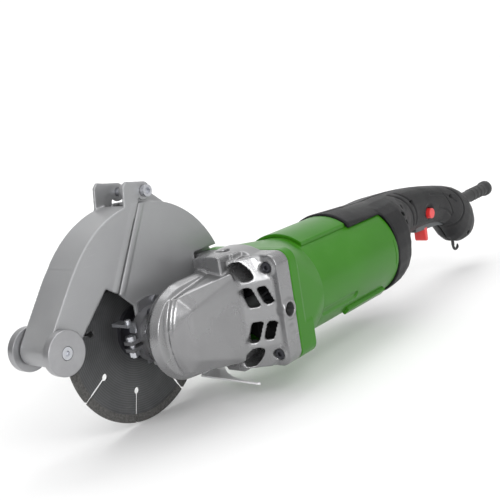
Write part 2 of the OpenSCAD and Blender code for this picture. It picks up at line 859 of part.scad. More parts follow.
module armature_windings() {
    color(copper) for (x = [[128, 140], [200, 214]]) {
        tube_x(m, 0, x[0], x[1], 21, 6);
    }
}

module commutator() {
    color(copper) difference() {
        rod_x(m, 0, 222, 248, 14);
        rod_x(m, 0, 220, 255, 6);
        for (i = [0:23]) translate([0, m, 0]) rotate([i * 15, 0, 0])
            block([224, 13, -0.3], [249, 15, 0.3]);
    }
}

module rear_bearing() {
    bearing_x(m, 0, 257.6, 264.6, 11, 4);
}

module bearing_sleeve() {
    color(dark) tube_x(m, 0, 256.4, 266, 14, 11);
}

module brush_holders() {
    color([0.7, 0.6, 0.3]) for (s = [-1, 1]) translate([0, m, 0]) mirror([0, s > 0 ? 0 : 1, 0])
        difference() {
            union() {
                block([229.5, 16, -5.5], [242.5, 41, 5.5]);
                block([227, 38.5, -7], [245, 41, 7]);
            }
            block([232, 15, -3], [240, 39.5, 3]);
        }
}

module carbon_brushes() {
    color(dark) for (s = [-1, 1]) translate([0, m, 0]) mirror([0, s > 0 ? 0 : 1, 0])
        block([232.1, 14.1, -2.9], [239.9, 28, 2.9]);
}

module brush_springs() {
    color(steel) for (s = [-1, 1]) translate([0, m, 0]) mirror([0, s > 0 ? 0 : 1, 0])
        translate([236, 28.6, 0]) rotate([-90, 0, 0]) coil(2, 0.4, 5, 10);
}

// ---- handle -------------------------------------------------------------

// Stations of the handle: top x and z, bottom x and z, half width
STATIONS = [
    [266.9, 47.8, 266.9, -47.4, 47.6], [285, 48.3, 283, -46.6, 47.2], [297, 48.5, 293, -44, 46.2],
    [305, 48.4, 299.5, -39, 43], [311, 48.2, 305, -32, 38], [318, 48, 311.5, -23.5, 32.5],
    [327, 47.6, 320, -15.5, 28], [344, 46.6, 336, -9, 23.8], [366, 44.6, 359, -5.5, 21.5],
    [390, 41.5, 383, -5, 20], [412, 38, 405, -6.2, 19.5], [434, 34, 424, -9, 19.5],
    [455, 29.5, 440, -15, 19.5], [474, 24, 449, -24, 20], [489, 17.5, 457, -34, 20],
    [500, 10, 467, -41, 20], [508, 0, 479, -44.5, 19], [513, -13, 491, -44, 16.5],
    [513, -25, 501, -39, 11.5], [509, -32, 504.5, -35, 5]
];
SIDES = 24;

// Point j of a station's ring: a softened ellipse between its top and bottom points, d smaller all round
function ring_point(s, j, d) = let (
        a = 360 * j / SIDES,
        c = cos(a),
        n = sin(a),
        e = 0.86,
        top = [s[0], s[1]],
        low = [s[2], s[3]],
        mid = (top + low) / 2,
        half = norm(top - low) / 2,
        up = (top - low) / (2 * half),
        w = sign(c) * pow(abs(c), e) * (half - d),
        v = sign(n) * pow(abs(n), e) * (s[4] - d)
    ) [mid[0] + up[0] * w, m + v, mid[1] + up[1] * w];

// Closed skin through the stations first to last
module handle_loft(d, first, last) {
    count = last - first + 1;
    points = [for (i = [first:last], j = [0:SIDES - 1]) ring_point(STATIONS[i], j, d)];
    walls = [for (i = [0:count - 2], j = [0:SIDES - 1]) let (k = (j + 1) % SIDES)
        [i * SIDES + j, i * SIDES + k, (i + 1) * SIDES + k, (i + 1) * SIDES + j]];
    front = [for (j = [SIDES - 1:-1:0]) j];
    back = [for (j = [0:SIDES - 1]) (count - 1) * SIDES + j];
    polyhedron(points, concat(walls, [front], [back]), convexity = 6);
}

// Tongue over the top of the barrel
module tongue() {
    difference() {
        intersection() {
            translate([208, m, 0]) rotate([0, 90, 0]) cylinder(r1 = 52.6, r2 = 48, h = 78);
            translate([0, m, 0]) block([208, -30.5, 30], [286, 30.5, 60]);
        }
        rod_x(m, 0, 200, 266.9, barrel_r + 0.5);
        rod_x(m, 0, 266, 310, barrel_r - 1);
    }
}

module handle_whole() {
    difference() {
        union() {
            handle_loft(0, 0, len(STATIONS) - 1);
            tongue();
        }
        handle_loft(wall, 0, len(STATIONS) - 2);
        // open front
        rod_x(m, 0, 266, 268, 44.8);
        // trigger mouth
        block([373.5, m - 7.4, -14.5], [452, m + 7.4, 2]);
        // air slots round the rear of the cap
        for (i = [0:6], s = [-1, 1]) {
            a = 50.6 + i * 11;
            translate([0, m, 0]) rotate([s * a, 0, 0]) block([298, -2.4, 30], [307, 2.4, 60]);
        }
        // mouth of the cord sleeve
        rod_x(m, 1, 495, 540, 7.6);
        rod_x(m, 1, 490, 505.1, 9.7);
        // seats of the trigger's pin and the wire hook
        rod_y(pivot_x, pivot_z, m - 13.1, m + 13.1, 2 + fit);
        rod_z(473, m, -60, -38, 1.9 + fit);
        // hole in the tongue
        rod_z(245, m, 40, 60, 2.6);
        for (p = handle_screw_at) rod_y(p[0], p[1], m - 60, m + 60, 2 + fit);
    }
}

handle_screw_at = [[350, 32], [446, 18], [484, -34], [316, 34]];

module screw_posts() {
    for (p = handle_screw_at) intersection() {
        rod_y(p[0], p[1], m - 60, m + 60, 4.6);
        handle_loft(0.6, 0, len(STATIONS) - 1);
    }
}

module handle_half(side) {
    color(charcoal) intersection() {
        difference() {
            union() {
                handle_whole();
                screw_posts();
            }
            for (p = handle_screw_at) rod_y(p[0], p[1], m - 60, m + 60, 2 + fit);
            for (p = handle_screw_at) rod_y(p[0], p[1], m + 8, m + 60, 3.9);
            // round recess and guide of the lock button
            rod_y(lock_x, lock_z, m - 40, m - 12, lock_r + gap);
            rod_y(lock_x - 2, lock_z + 1, m - 40, m - 17.9, lock_r + 3.6);
        }
        block([200, side < 0 ? m - 100 : m + 0.05, -100], [600, side < 0 ? m - 0.05 : m + 100, 100]);
    }
}

module handle_shell_near() {
    handle_half(-1);
}

module handle_shell_far() {
    handle_half(1);
}

module handle_screws() {
    color(steel) for (p = handle_screw_at) {
        rod_y(p[0], p[1], m - 9, m + 8, 2);
        difference() {
            rod_y(p[0], p[1], m + 8, m + 10.5, 3.8);
            hex_y(p[0], p[1], m + 9.2, m + 12, 3);
        }
    }
}

pivot_x = 446;
pivot_z = -8;

// Long lever with a finger flap near its front end
module trigger() {
    color([0.45, 0.5, 0.5]) difference() {
        union() {
            along_y(m - 7, m + 7) polygon([[376, -1.5], [376, -8.5], [424, -11.5], [440, -14.5],
                                           [450, -14.5], [450, -5], [438, -4]]);
            rod_y(pivot_x, pivot_z, m - 7, m + 7, 5);
        }
        rod_y(pivot_x, pivot_z, m - 10, m + 10, 2 + fit);
    }
    color(red) along_y(m - 7, m + 7)
        polygon([[396.6, -8.4], [396, -20.6], [397.6, -23], [400.6, -23.2], [401.8, -21], [401.8, -9.8]]);
}

module trigger_pin() {
    color(steel) rod_y(pivot_x, pivot_z, m - 13, m + 13, 2);
}

module trigger_spring() {
    color(steel) translate([386, m, -1.2]) coil(3, 0.45, 4, 8.6);
}

module switch_body() {
    color(dark) difference() {
        union() {
            block([398, m - 9, 8.5], [438, m + 9, 27]);
            block([381, m - 9.4, 8.1], [398, m + 6, 19.5]);
        }
        rod_z(414, m, 5, 20, 3.2);
    }
}

module switch_plunger() {
    color(dark) rod_z(414, m, -1.2, 15, 3.1);
}

lock_x = 391;
lock_z = 10.4;
lock_r = 5.7;

module lock_button() {
    color(red) {
        rod_y(lock_x, lock_z, m - 21.6, m - 16.2, lock_r);
        rod_y(lock_x, lock_z, m - 16.5, m - 14.6, lock_r + 0.3);
    }
}

module lock_button_spring() {
    color(steel) translate([lock_x, m - 14.2, lock_z]) rotate([-90, 0, 0]) coil(3, 0.4, 3, 4.4);
}

module suppressor() {
    color([0.75, 0.65, 0.3]) block([282, m - 13, -14], [306, m + 13, 4]);
}

module cord_sleeve() {
    color(charcoal) difference() {
        union() {
            rod_x(m, 1, 499, 505, 9.6);
            rod_x(m, 1, 505, 571, 7.4);
            rod_x(m, 1, 571, 578, 9.4);
            for (x = [530, 540, 550, 560]) rod_x(m, 1, x, x + 4, 8);
        }
        rod_x(m, 1, 480, 590, cord_hole_r);
    }
}

module cord_clamp() {
    color(dark) difference() {
        block([476, m - 12, 4], [486, m + 12, 8.4]);
        for (s = [-1, 1]) rod_z(481, m + s * 8.5, 0, 10, 1.6);
    }
    color(steel) for (s = [-1, 1]) {
        rod_z(481, m + s * 8.5, 0, 8.4, 1.55);
        rod_z(481, m + s * 8.5, 8.4, 10.4, 3);
    }
}

// Small wire hook under the handle's end
module hook() {
    color(charcoal) {
        rod_z(473, m, -47.6, -41, 1.9);
        difference() {
            translate([479.5, m, -47.5]) rotate([90, 0, 0]) rotate_extrude() translate([6.5, 0]) circle(1.6);
            block([465, m - 3, -47.5], [490, m + 3, -35]);
            block([484.3, m - 3, -60], [490, m + 3, -35]);
        }
    }
}

// ---- drawing ------------------------------------------------------------

shroud_rear();
shroud_front();
hinge_bolt();
guard_nuts();
roller_near();
roller_far();
axle_spacer();
axle_bolt();
axle_nut();
clamp_band();
clamp_bolt();
guard_bracket();
guard_screws();
skid_plate();
dust_port();
blade();
blade_segments();
inner_flange();
flange_nut();
spindle();
crown_gear();
spindle_bearing_lower();
spindle_bearing_upper();
bearing_cover();
cover_screws();
gear_housing();
head_screws();
front_bearing();
pinion_gear();
cooling_fan();
air_baffle();
motor_housing();
top_plate();
stator_core();
stator_windings();
armature_shaft();
armature_core();
armature_windings();
commutator();
rear_bearing();
bearing_sleeve();
brush_holders();
carbon_brushes();
brush_springs();
handle_shell_near();
handle_shell_far();
handle_screws();
trigger();
trigger_pin();
trigger_spring();
switch_body();
switch_plunger();
lock_button();
lock_button_spring();
suppressor();
cord_sleeve();
cord_clamp();
hook();
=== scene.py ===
"""Looks of a hand-held wall chaser: a single-blade masonry saw with a hinged guard on rollers.

Everything is in metres in the part's own frame: the origin is the centre of the blade, +X runs back along
the motor to the handle, +Y along the spindle away from the gear head, and +Z is up.
"""

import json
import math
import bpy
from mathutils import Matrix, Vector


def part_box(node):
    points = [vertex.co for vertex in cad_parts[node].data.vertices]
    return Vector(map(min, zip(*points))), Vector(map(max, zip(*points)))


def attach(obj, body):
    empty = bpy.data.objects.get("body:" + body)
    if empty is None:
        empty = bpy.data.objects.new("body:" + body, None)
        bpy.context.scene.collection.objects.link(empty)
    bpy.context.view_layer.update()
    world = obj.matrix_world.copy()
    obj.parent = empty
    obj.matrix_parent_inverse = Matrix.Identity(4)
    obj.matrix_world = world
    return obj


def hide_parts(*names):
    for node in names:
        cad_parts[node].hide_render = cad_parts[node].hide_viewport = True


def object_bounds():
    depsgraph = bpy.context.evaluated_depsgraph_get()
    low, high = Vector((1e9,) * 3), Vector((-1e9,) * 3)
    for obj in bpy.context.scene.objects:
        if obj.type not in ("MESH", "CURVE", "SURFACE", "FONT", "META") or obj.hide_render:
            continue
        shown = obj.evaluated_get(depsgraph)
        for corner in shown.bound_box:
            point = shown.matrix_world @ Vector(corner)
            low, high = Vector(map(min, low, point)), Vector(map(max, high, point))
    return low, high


bl_info = {
    "name": "Wall chaser looks",
    "version": (1, 0, 0),
    "blender": (4, 5, 0),
    "location": "3D View > Sidebar > Wall Chaser",
    "description": "Rounded castings, moulded handle and procedural finishes of a wall chaser",
    "category": "Object",
}

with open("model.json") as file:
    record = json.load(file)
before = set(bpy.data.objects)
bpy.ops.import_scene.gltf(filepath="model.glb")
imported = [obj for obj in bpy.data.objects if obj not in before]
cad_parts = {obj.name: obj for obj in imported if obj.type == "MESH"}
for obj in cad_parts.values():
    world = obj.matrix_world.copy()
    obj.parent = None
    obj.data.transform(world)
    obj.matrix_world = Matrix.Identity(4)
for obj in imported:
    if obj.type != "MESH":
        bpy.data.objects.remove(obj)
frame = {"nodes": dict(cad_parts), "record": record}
CAD_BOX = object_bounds()

import bmesh
import bpy
import numpy as np
from bpy.props import FloatProperty, FloatVectorProperty, IntProperty, PointerProperty
from mathutils import Matrix, Vector

MOTOR_Y = -0.0576  # the motor's axis runs along X at this y, z 0
BARREL_R = 0.047  # outer radius of the motor barrel
BARREL_BORE = 0.044
FLANGE_X = 0.085  # front face of the motor housing
CAP_X = 0.2665  # rear edge of the barrel
GUARD_X, GUARD_Z = 0.009, 0.011  # centre of the guard's rim
GUARD_R = 0.0969  # outer radius of the rim
LEG_REACH = 0.09746  # nearest distance from the blade's centre to the outer line of the guard's leg
LEG_ANGLE = 142.5  # direction of that nearest point, in degrees from +X towards +Z
LEG_START = 132.7  # direction in which the leg leaves the rim
EASE_START = 124.0  # direction in which the smooth run from the rim to the leg begins
GLOSS_SPREAD = 0.1  # share by which roughness drifts over a piece


# ---------------------------------------------------------------- settings


class ChaserFinish(bpy.types.PropertyGroup):
    """Colours of the painted and moulded pieces."""

    silver: FloatVectorProperty(
        name="Guard silver", description="Sprayed silver of the guard", subtype="COLOR",
        size=3, default=(0.33, 0.333, 0.34), min=0, max=1,
    )
    casting: FloatVectorProperty(
        name="Casting", description="Bead-blasted alloy of the gear head", subtype="COLOR",
        size=3, default=(0.27, 0.27, 0.275), min=0, max=1,
    )
    green: FloatVectorProperty(
        name="Barrel green", description="Moulded green of the motor barrel", subtype="COLOR",
        size=3, default=(0.030, 0.165, 0.004), min=0, max=1,
    )
    charcoal: FloatVectorProperty(
        name="Handle charcoal", description="Moulded dark grey of the handle", subtype="COLOR",
        size=3, default=(0.011, 0.011, 0.012), min=0, max=1,
    )
    red: FloatVectorProperty(
        name="Control red", description="Moulded red of the trigger and the lock button", subtype="COLOR",
        size=3, default=(0.72, 0.035, 0.035), min=0, max=1,
    )
    blade_grey: FloatVectorProperty(
        name="Blade grey", description="Dark steel of the blade", subtype="COLOR",
        size=3, default=(0.10, 0.102, 0.105), min=0, max=1,
    )


class ChaserShape(bpy.types.PropertyGroup):
    """Sizes of the rounding and of the drawn detail."""

    casting_grid: FloatProperty(
        name="Casting grid", description="Cell size used to round the gear head's edges",
        unit="LENGTH", default=0.0009, min=0.0006, max=0.003,
    )
    guard_grid: FloatProperty(
        name="Guard grid", description="Cell size used to round the guard's edges",
        unit="LENGTH", default=0.0009, min=0.0006, max=0.003,
    )
    handle_grid: FloatProperty(
        name="Handle grid", description="Cell size used to round the handle",
        unit="LENGTH", default=0.0009, min=0.0006, max=0.003,
    )
    groove_depth: FloatProperty(
        name="Groove depth", description="Depth of the moulded lines on the handle",
        unit="LENGTH", default=0.0009, min=0, max=0.002,
    )
    turns: IntProperty(
        name="Round steps", description="Steps round a turned piece", default=144, min=24, max=256,
    )


# ---------------------------------------------------------------- mesh helpers


def add_object(name, mesh):
    """A new object at the origin that holds the mesh."""
    obj = bpy.data.objects.new(name, mesh)
    bpy.context.scene.collection.objects.link(obj)
    return obj


def mesh_from_arrays(name, points, quads):
    """A mesh of the given points, an (n, 3) array, and quads, an (m, 4) array of point numbers."""
    mesh = bpy.data.meshes.new(name)
    mesh.vertices.add(len(points))
    mesh.vertices.foreach_set("co", np.ascontiguousarray(points, np.float32).ravel())
    mesh.loops.add(quads.size)
    mesh.loops.foreach_set("vertex_index", np.ascontiguousarray(quads, np.int32).ravel())
    mesh.polygons.add(len(quads))
    mesh.polygons.foreach_set("loop_start", np.arange(0, quads.size, quads.shape[1], dtype=np.int32))
    mesh.polygons.foreach_set("loop_total", np.full(len(quads), quads.shape[1], np.int32))
    mesh.polygons.foreach_set("use_smooth", np.ones(len(quads), bool))
    mesh.update(calc_edges=True)
    mesh.validate()
    return mesh


def grid_quads(rows, cols, close_rows, close_cols):
    """Quads of a rows by cols grid of points; a closed direction joins its last line to its first."""
    i = np.arange(rows if close_rows else rows - 1)[:, None]
    j = np.arange(cols if close_cols else cols - 1)[None, :]
    i2, j2 = (i + 1) % rows, (j + 1) % cols
    return np.stack(np.broadcast_arrays(i * cols + j, i * cols + j2, i2 * cols + j2, i2 * cols + j), -1).reshape(-1, 4)


def outward(obj):
    """Merges doubles and turns every face outwards."""
    bm = bmesh.new()
    bm.from_mesh(obj.data)
    bmesh.ops.remove_doubles(bm, verts=bm.verts, dist=1e-6)
    bmesh.ops.dissolve_degenerate(bm, edges=bm.edges, dist=1e-7)
    bmesh.ops.recalc_face_normals(bm, faces=bm.faces)
    bm.to_mesh(obj.data)
    bm.free()
    return obj


def rounded_profile(corners, radii, steps=6):
    """A closed outline in the plane with each corner turned into an arc.

    At corner c with neighbours a and b the arc leaves the line c to a at distance r / tan(half angle) from c and
    follows the quadratic blend (1-t)^2 p + 2t(1-t) c + t^2 q between the two leaving points p and q.
    """
    c = np.asarray(corners, float)
    before, after = np.roll(c, 1, 0) - c, np.roll(c, -1, 0) - c
    lb, la = np.linalg.norm(before, axis=1), np.linalg.norm(after, axis=1)
    reach = np.minimum(np.asarray(radii, float), 0.48 * np.minimum(lb, la))[:, None]
    p, q = c + before / lb[:, None] * reach, c + after / la[:, None] * reach
    t = np.linspace(0, 1, steps)[None, :, None]
    return ((1 - t) ** 2 * p[:, None] + 2 * t * (1 - t) * c[:, None] + t**2 * q[:, None]).reshape(-1, 2)


def turned(name, profile, centre, axis, steps):
    """A turned piece: the closed outline (along, radius) carried round the axis.

    Point (s, r) at angle a goes to centre + s * axis + r * (cos a * u + sin a * v), u and v square to the axis.
    """
    d = np.asarray(axis, float)
    u = np.array([0.0, 0.0, 1.0]) if abs(d[2]) < 0.5 else np.array([1.0, 0.0, 0.0])
    v = np.cross(d, u)
    a = np.linspace(0, 2 * np.pi, steps, endpoint=False)
    ring = np.cos(a)[:, None] * u + np.sin(a)[:, None] * v
    s, r = profile[:, 0], np.maximum(profile[:, 1], 0)
    points = np.asarray(centre) + s[:, None, None] * d + r[:, None, None] * ring[None]
    mesh = mesh_from_arrays(name, points.reshape(-1, 3), grid_quads(len(profile), steps, True, True))
    return outward(add_object(name, mesh))


def baked(obj):
    """Applies the object's modifiers, so later code can move its points."""
    view = bpy.context.evaluated_depsgraph_get()
    mesh = bpy.data.meshes.new_from_object(obj.evaluated_get(view))
    obj.modifiers.clear()
    old, obj.data = obj.data, mesh
    bpy.data.meshes.remove(old)
    obj.data.name = obj.name
    return obj


def softened(nodes, name, grid, passes, body):
    """One rounded piece from copies of CAD nodes: merged, rebuilt on an even grid, then relaxed.

    Each pass moves every point part of the way to the mean of its neighbours, which turns sharp edges into the
    small radii of a casting or a moulding.
    """
    bm = bmesh.new()
    for node in nodes:
        bm.from_mesh(frame["nodes"][node].data)
    bmesh.ops.remove_doubles(bm, verts=bm.verts, dist=2e-6)
    mesh = bpy.data.meshes.new(name)
    bm.to_mesh(mesh)
    bm.free()
    obj = add_object(name, mesh)
    remesh = obj.modifiers.new("even_grid", "REMESH")
    remesh.mode = "VOXEL"
    remesh.voxel_size = grid
    remesh.use_smooth_shade = True
    relax = obj.modifiers.new("relax", "SMOOTH")
    relax.factor = 0.5
    relax.iterations = passes
    baked(obj)
    obj.data.materials.clear()
    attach(obj, body)
    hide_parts(*nodes)
    return obj


def coords(obj):
    """The object's points as an (n, 3) array."""
    flat = np.empty(len(obj.data.vertices) * 3, np.float32)
    obj.data.vertices.foreach_get("co", flat)
    return flat.reshape(-1, 3).astype(float)


def normals(obj):
    """The object's point normals as an (n, 3) array."""
    flat = np.empty(len(obj.data.vertices) * 3, np.float32)
    obj.data.vertex_normals.foreach_get("vector", flat)
    return flat.reshape(-1, 3).astype(float)


def set_coords(obj, points):
    obj.data.vertices.foreach_set("co", np.ascontiguousarray(points, np.float32).ravel())
    obj.data.update()


def distance_to_path(flat_points, path):
    """Shortest distance in the plane from each point to a line of straight pieces."""
    best = np.full(len(flat_points), 1e9)
    for a, b in zip(path[:-1], path[1:]):
        d = b - a
        t = np.clip(((flat_points - a) @ d) / (d @ d), 0, 1)
        best = np.minimum(best, np.linalg.norm(flat_points - a - t[:, None] * d, axis=1))
    return best


def smooth_path(points, count=60):
    """A smooth curve through a few points: cubic blends whose slope at a point is that of its neighbours."""
    p = np.asarray(points, float)
    ext = np.vstack([2 * p[0] - p[1], p, 2 * p[-1] - p[-2]])
    s = np.linspace(0, len(p) - 1 - 1e-9, count)
    i = s.astype(int)
    t = (s - i)[:, None]
    a, b, c, d = ext[i], ext[i + 1], ext[i + 2], ext[i + 3]
    return 0.5 * (2 * b + (c - a) * t + (2 * a - 5 * b + 4 * c - d) * t**2 + (3 * b - a - 3 * c + d) * t**3)


def smooth_step(x):
    x = np.clip(x, 0, 1)
    return x * x * (3 - 2 * x)


# ---------------------------------------------------------------- shader helpers


def new_node(tree, kind, **settings):
    node = tree.nodes.new(kind)
    for key, value in settings.items():
        setattr(node, key, value)
    return node


def feed(tree, node, socket, value):
    """Puts a value or another node's output into a socket."""
    target = node.inputs[socket]
    if isinstance(value, bpy.types.NodeSocket):
        tree.links.new(value, target)
    elif hasattr(target.default_value, "__len__") and len(target.default_value) == 4 and len(value) == 3:
        target.default_value = (*value, 1)
    else:
        target.default_value = value


def math_node(tree, operation, a, b=0.0):
    node = new_node(tree, "ShaderNodeMath", operation=operation)
    feed(tree, node, 0, a)
    feed(tree, node, 1, b)
    return node.outputs[0]


def remap(tree, value, low, high, to_low=0.0, to_high=1.0):
    node = new_node(tree, "ShaderNodeMapRange", interpolation_type="SMOOTHSTEP")
    for socket, v in zip(("Value", "From Min", "From Max", "To Min", "To Max"), (value, low, high, to_low, to_high)):
        feed(tree, node, socket, v)
    return node.outputs[0]


def mix_colour(tree, factor, a, b, blend_type="MIX"):
    node = new_node(tree, "ShaderNodeMix", data_type="RGBA", blend_type=blend_type)
    feed(tree, node, 0, factor)
    feed(tree, node, 6, a)
    feed(tree, node, 7, b)
    return node.outputs[2]


def noise(tree, vector, scale, detail=3.0, roughness=0.55):
    node = new_node(tree, "ShaderNodeTexNoise")
    feed(tree, node, "Vector", vector)
    feed(tree, node, "Scale", scale)
    feed(tree, node, "Detail", detail)
    feed(tree, node, "Roughness", roughness)
    return node.outputs[0]


def stretched(tree, vector, scale):
    node = new_node(tree, "ShaderNodeMapping")
    feed(tree, node, "Vector", vector)
    feed(tree, node, "Scale", scale)
    return node.outputs[0]


def group(name, inputs, outputs, build):
    """A node group made once: inputs are (name, type, default), outputs are (name, type)."""
    if name in bpy.data.node_groups:
        return bpy.data.node_groups[name]
    tree = bpy.data.node_groups.new(name, "ShaderNodeTree")
    for label, kind, value in inputs:
        socket = tree.interface.new_socket(name=label, in_out="INPUT", socket_type=kind)
        socket.default_value = value
    for label, kind in outputs:
        tree.interface.new_socket(name=label, in_out="OUTPUT", socket_type=kind)
    start, end = tree.nodes.new("NodeGroupInput"), tree.nodes.new("NodeGroupOutput")
    for label, value in build(tree, start.outputs).items():
        tree.links.new(value, end.inputs[label])
    return tree


NUMBER, COLOUR = "NodeSocketFloat", "NodeSocketColor"


def surface_grain():
    """Two sizes of noise over the piece: a height for bumps and a slow tone from 0 to 1."""

    def build(tree, given):
        place = new_node(tree, "ShaderNodeTexCoord").outputs["Object"]
        fine = noise(tree, place, given["Fine scale"], 2.0)
        broad = noise(tree, place, given["Broad scale"], 3.0)
        return {
            "Height": math_node(tree, "ADD", fine, math_node(tree, "MULTIPLY", broad, given["Broad share"])),
            "Tone": remap(tree, broad, 0.3, 0.7),
        }

    return group(
        "Surface grain",
        [("Fine scale", NUMBER, 900.0), ("Broad scale", NUMBER, 40.0), ("Broad share", NUMBER, 0.4)],
        [("Height", NUMBER), ("Tone", NUMBER)],
        build,
    )


def settled_dust():
    """Pale masonry dust where the surface looks up and a slow noise is high."""

    def build(tree, given):
        place = new_node(tree, "ShaderNodeTexCoord").outputs["Object"]
        facing = new_node(tree, "ShaderNodeSeparateXYZ")
        feed(tree, facing, 0, new_node(tree, "ShaderNodeNewGeometry").outputs["Normal"])
        up = remap(tree, facing.outputs["Z"], -0.2, 1.0)
        patch = remap(tree, noise(tree, place, 55.0, 5.0, 0.65), 0.45, 0.75)
        mask = math_node(tree, "MULTIPLY", math_node(tree, "MULTIPLY", up, patch), given["Amount"])
        return {"Color": mix_colour(tree, mask, given["Color"], (0.50, 0.47, 0.43)), "Mask": mask}

    return group(
        "Settled dust",
        [("Color", COLOUR, (0.5, 0.5, 0.5, 1)), ("Amount", NUMBER, 0.1)],
        [("Color", COLOUR), ("Mask", NUMBER)],
        build,
    )


def rubbed():
    """Fine rubbing marks: long thin noise in two directions, as a mask from 0 to 1."""

    def build(tree, given):
        place = new_node(tree, "ShaderNodeTexCoord").outputs["Object"]
        along = noise(tree, stretched(tree, place, (60, 900, 700)), 1.0, 2.0)
        across = noise(tree, stretched(tree, place, (800, 700, 80)), 1.0, 2.0)
        marks = math_node(tree, "MAXIMUM", remap(tree, along, 0.62, 0.74), remap(tree, across, 0.64, 0.76))
        patch = remap(tree, noise(tree, place, 30.0, 2.0), 0.45, 0.65)
        return {"Mask": math_node(tree, "MULTIPLY", math_node(tree, "MULTIPLY", marks, patch), given["Amount"])}

    return group("Rubbing marks", [("Amount", NUMBER, 0.5)], [("Mask", NUMBER)], build)


def placed(tree, group_tree, **values):
    node = new_node(tree, "ShaderNodeGroup", node_tree=group_tree)
    for key, value in values.items():
        feed(tree, node, key.replace("_", " "), value)
    return node.outputs


def finish(
    name, colour, metallic=0.0, roughness=0.5, fine=900.0, broad=40.0, bump=0.1, tone=0.12, dust=0.0, marks=0.0,
    coat=0.0, broad_share=0.4, extra=None, specular=0.5,
):
    """A material: a base colour that drifts with the grain, uneven gloss, fine bumps, rubbing marks and dust."""
    if name in bpy.data.materials:
        return bpy.data.materials[name]
    material = bpy.data.materials.new(name)
    material.use_nodes = True
    tree = material.node_tree
    tree.nodes.clear()
    shader = tree.nodes.new("ShaderNodeBsdfPrincipled")
    tree.links.new(shader.outputs[0], tree.nodes.new("ShaderNodeOutputMaterial").inputs["Surface"])
    grain = placed(tree, surface_grain(), Fine_scale=fine, Broad_scale=broad, Broad_share=broad_share)
    dark = tuple(c * (1 - tone) for c in colour)
    light = tuple(min(1.0, c * (1 + tone)) for c in colour)
    base = mix_colour(tree, grain["Tone"], dark, light)
    rough = remap(tree, grain["Tone"], 0.0, 1.0, roughness * (1 - GLOSS_SPREAD), roughness * (1 + GLOSS_SPREAD))
    height = grain["Height"]
    if extra:
        base, rough, height = extra(tree, base, rough, height)
    if marks:
        mask = placed(tree, rubbed(), Amount=marks)["Mask"]
        base = mix_colour(tree, mask, base, tuple(min(1.0, c * 1.35 + 0.02) for c in colour))
        rough = math_node(tree, "ADD", rough, math_node(tree, "MULTIPLY", mask, 0.18))
    if dust:
        settled = placed(tree, settled_dust(), Color=base, Amount=dust)
        base = settled["Color"]
        rough = math_node(tree, "ADD", rough, math_node(tree, "MULTIPLY", settled["Mask"], 0.4))
    feed(tree, shader, "Base Color", base)
    feed(tree, shader, "Roughness", rough)
    shader.inputs["Metallic"].default_value = metallic
    shader.inputs["Specular IOR Level"].default_value = specular
    shader.inputs["Coat Weight"].default_value = coat
    shader.inputs["Coat Roughness"].default_value = 0.12
    relief = new_node(tree, "ShaderNodeBump")
    relief.inputs["Strength"].default_value = bump
    relief.inputs["Distance"].default_value = 0.0004
    feed(tree, relief, "Height", height)
    tree.links.new(relief.outputs[0], shader.inputs["Normal"])
    return material


def rings_about_y(scale, share):
    """Turning marks: fine rings about the Y axis through the origin."""

    def add(tree, base, rough, height):
        place = new_node(tree, "ShaderNodeTexCoord").outputs["Object"]
        wave = new_node(tree, "ShaderNodeTexWave", wave_type="RINGS", rings_direction="Y")
        feed(tree, wave, "Vector", place)
        feed(tree, wave, "Scale", scale)
        feed(tree, wave, "Distortion", 1.2)
        feed(tree, wave, "Detail Scale", 8.0)
        line = wave.outputs["Fac"]
        base = mix_colour(tree, math_node(tree, "MULTIPLY", line, share), base, (0.02, 0.02, 0.021))
        return base, rough, math_node(tree, "ADD", height, math_node(tree, "MULTIPLY", line, 0.5))

    return add


def bands_along(direction, scale, dark):
    """Even lines across an axis: stacked sheets, wound wire or bars."""

    def add(tree, base, rough, height):
        place = new_node(tree, "ShaderNodeTexCoord").outputs["Object"]
        wave = new_node(tree, "ShaderNodeTexWave", wave_type="BANDS", bands_direction=direction)
        feed(tree, wave, "Vector", place)
        feed(tree, wave, "Scale", scale)
        line = wave.outputs["Fac"]
        base = mix_colour(tree, math_node(tree, "MULTIPLY", line, 0.6), base, dark)
        return base, rough, math_node(tree, "ADD", height, line)

    return add


def cast_alloy():
    look = bpy.context.scene.chaser_finish
    return finish("cast_alloy", look.casting, metallic=0.85, roughness=0.27, fine=1400, broad=24, bump=0.16,
                  tone=0.06, dust=0.05, marks=0.25)


def guard_silver():
    look = bpy.context.scene.chaser_finish
    return finish("guard_silver", look.silver, metallic=0.55, roughness=0.40, fine=2200, broad=18, bump=0.10,
                  tone=0.05, dust=0.06, marks=0.2)


def roller_alloy():
    return finish("roller_alloy", (0.34, 0.34, 0.35), metallic=0.8, roughness=0.33, fine=1800, broad=60, bump=0.08,
                  tone=0.06, dust=0.05, marks=0.3)


def green_moulding():
    look = bpy.context.scene.chaser_finish
    return finish("green_moulding", look.green, roughness=0.32, fine=1600, broad=14, bump=0.045, tone=0.05, dust=0.02,
                  marks=0.08, coat=0.04, specular=0.28)


def charcoal_moulding():
    look = bpy.context.scene.chaser_finish
    return finish("charcoal_moulding", look.charcoal, roughness=0.48, fine=2600, broad=30, bump=0.20, tone=0.12,
                  dust=0.01, marks=0.06, specular=0.22)


def red_moulding():
    look = bpy.context.scene.chaser_finish
    return finish("red_moulding", look.red, roughness=0.33, fine=1500, broad=60, bump=0.05, tone=0.08, coat=0.2)


